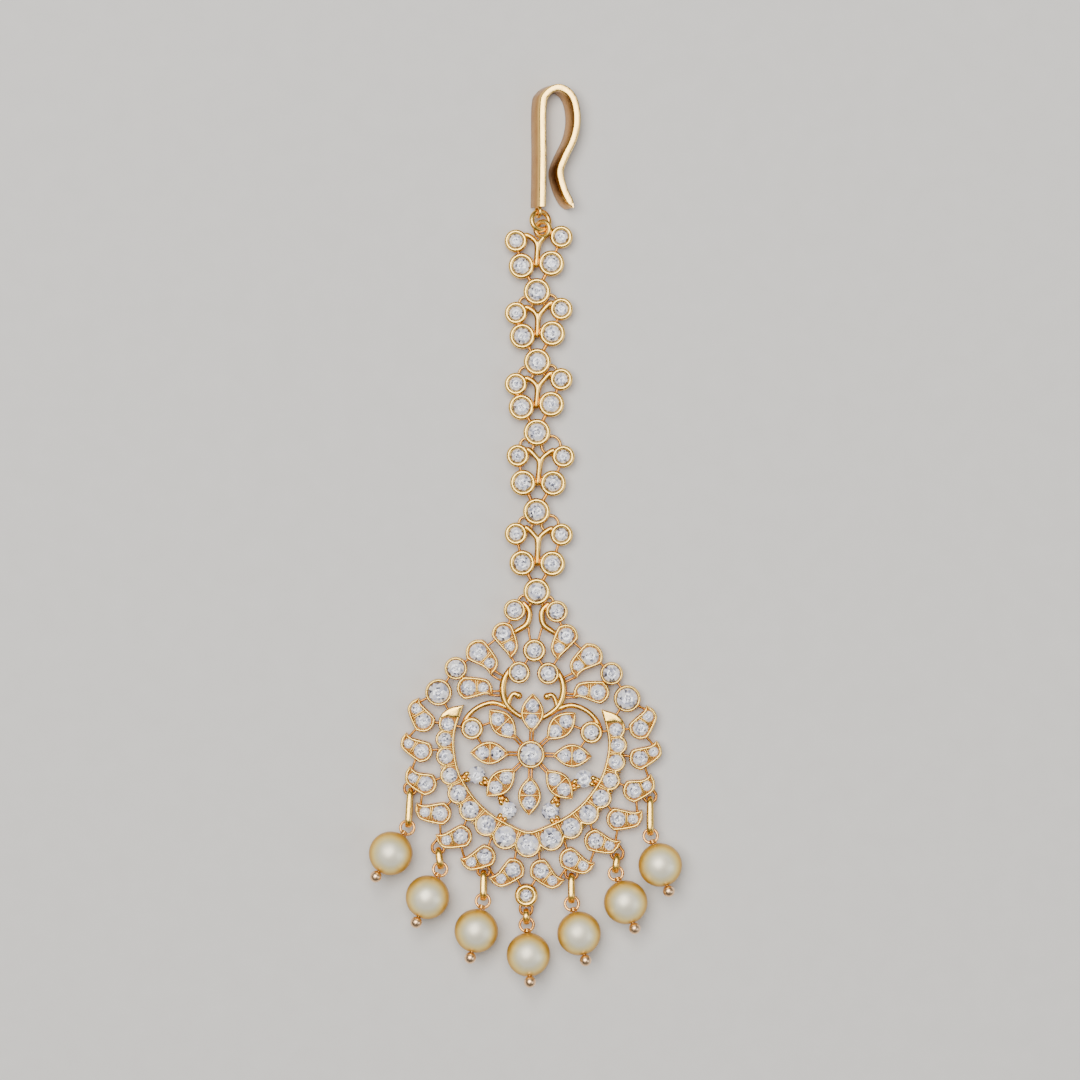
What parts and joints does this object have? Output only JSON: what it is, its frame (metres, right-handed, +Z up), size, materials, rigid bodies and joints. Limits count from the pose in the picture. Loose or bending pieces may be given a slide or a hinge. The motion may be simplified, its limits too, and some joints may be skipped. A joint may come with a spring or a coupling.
{
  "type": "maang tikka",
  "caption": "Forehead jewel: a hair hook, a chain of hinged bezel units, and a stone-set openwork pendant with pearl drops.",
  "frame": {"origin": "centre of the pendant's flower, on the flat underside of its bezel, which is the surface that the jewel lies on", "axes": "+Y along the jewel from the pendant to the hook, +Z up out of the face with the stones, +X to the right as seen from the front"},
  "size_m": [0.0427, 0.1235, 0.006],
  "materials": {
    "gold": "satin",
    "rose_gold": "polished",
    "pearl": "gloss"
  },
  "bodies": {
    "root": {"chain_unit_1": "gold", "chain_unit_2": "gold", "chain_unit_3": "gold", "chain_unit_4": "gold", "chain_unit_5": "gold", "drop_pearl_1": "pearl", "drop_pearl_2": "pearl", "drop_pearl_3": "pearl", "drop_pearl_4": "pearl", "drop_pearl_5": "pearl", "drop_pearl_6": "pearl", "drop_pearl_7": "pearl", "drop_pin_1": "rose_gold", "drop_pin_2": "rose_gold", "drop_pin_3": "rose_gold", "drop_pin_4": "rose_gold", "drop_pin_5": "rose_gold", "drop_pin_6": "rose_gold", "drop_pin_7": "rose_gold", "drop_ring_1": "gold", "drop_ring_2": "gold", "drop_ring_3": "gold", "drop_ring_4": "gold", "drop_ring_5": "gold", "drop_ring_6": "gold", "drop_ring_7": "gold", "hinge_ring_1_left": "gold", "hinge_ring_1_right": "gold", "hinge_ring_2_left": "gold", "hinge_ring_2_right": "gold", "hinge_ring_3_left": "gold", "hinge_ring_3_right": "gold", "hinge_ring_4_left": "gold", "hinge_ring_4_right": "gold", "hinge_ring_5_left": "gold", "hinge_ring_5_right": "gold", "hook": "gold", "hook_ring": "gold", "pendant": "gold"}
  },
  "joints": []
}
